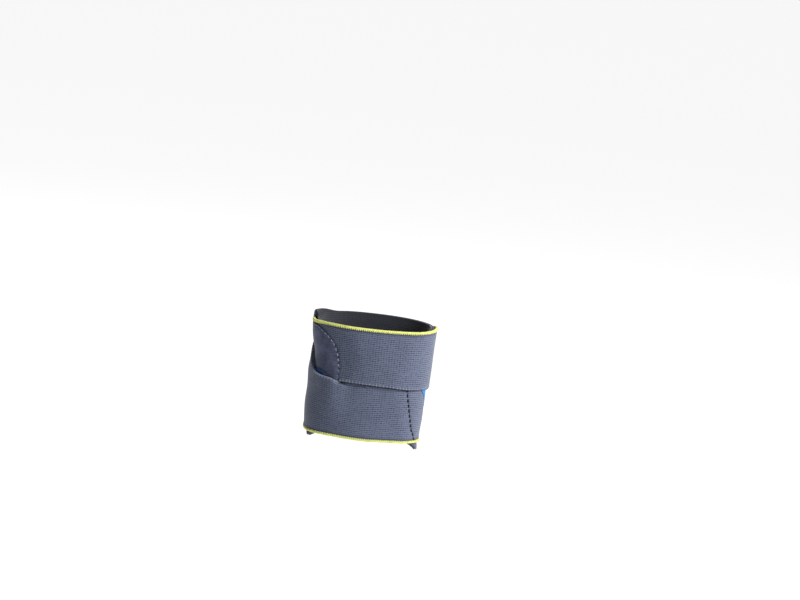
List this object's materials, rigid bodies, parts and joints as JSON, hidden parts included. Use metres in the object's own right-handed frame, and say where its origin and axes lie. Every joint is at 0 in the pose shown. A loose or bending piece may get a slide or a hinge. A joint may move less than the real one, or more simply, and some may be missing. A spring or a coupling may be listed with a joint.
{
  "type": "wrist support",
  "caption": "Soft wrap for the wrist: a padded back panel with elastic bands that cross on the palm side and fasten with hook and loop on the back.",
  "frame": {"origin": "middle of the hollow that the wrist fills, level with the place where the two bands meet on the palm side", "axes": "+Z along the forearm towards the hand, +X to the thumb side, -Y out of the palm side"},
  "size_m": [0.0732, 0.0495, 0.0747],
  "materials": {
    "band": "matt woven elastic webbing",
    "panel": "matt brushed nap",
    "lining": "matt dark knit",
    "loop": "matt loop pile",
    "hook": "matt hook tape",
    "edge": "satin woven cord"
  },
  "bodies": {
    "root": {"panel_lining": "lining", "back_panel": "panel", "loop_strip": "loop", "lower_hook_patch": "hook", "upper_hook_patch": "hook", "lower_band": "band", "upper_band": "band", "lower_edge": "edge", "upper_edge": "edge"}
  },
  "joints": []
}
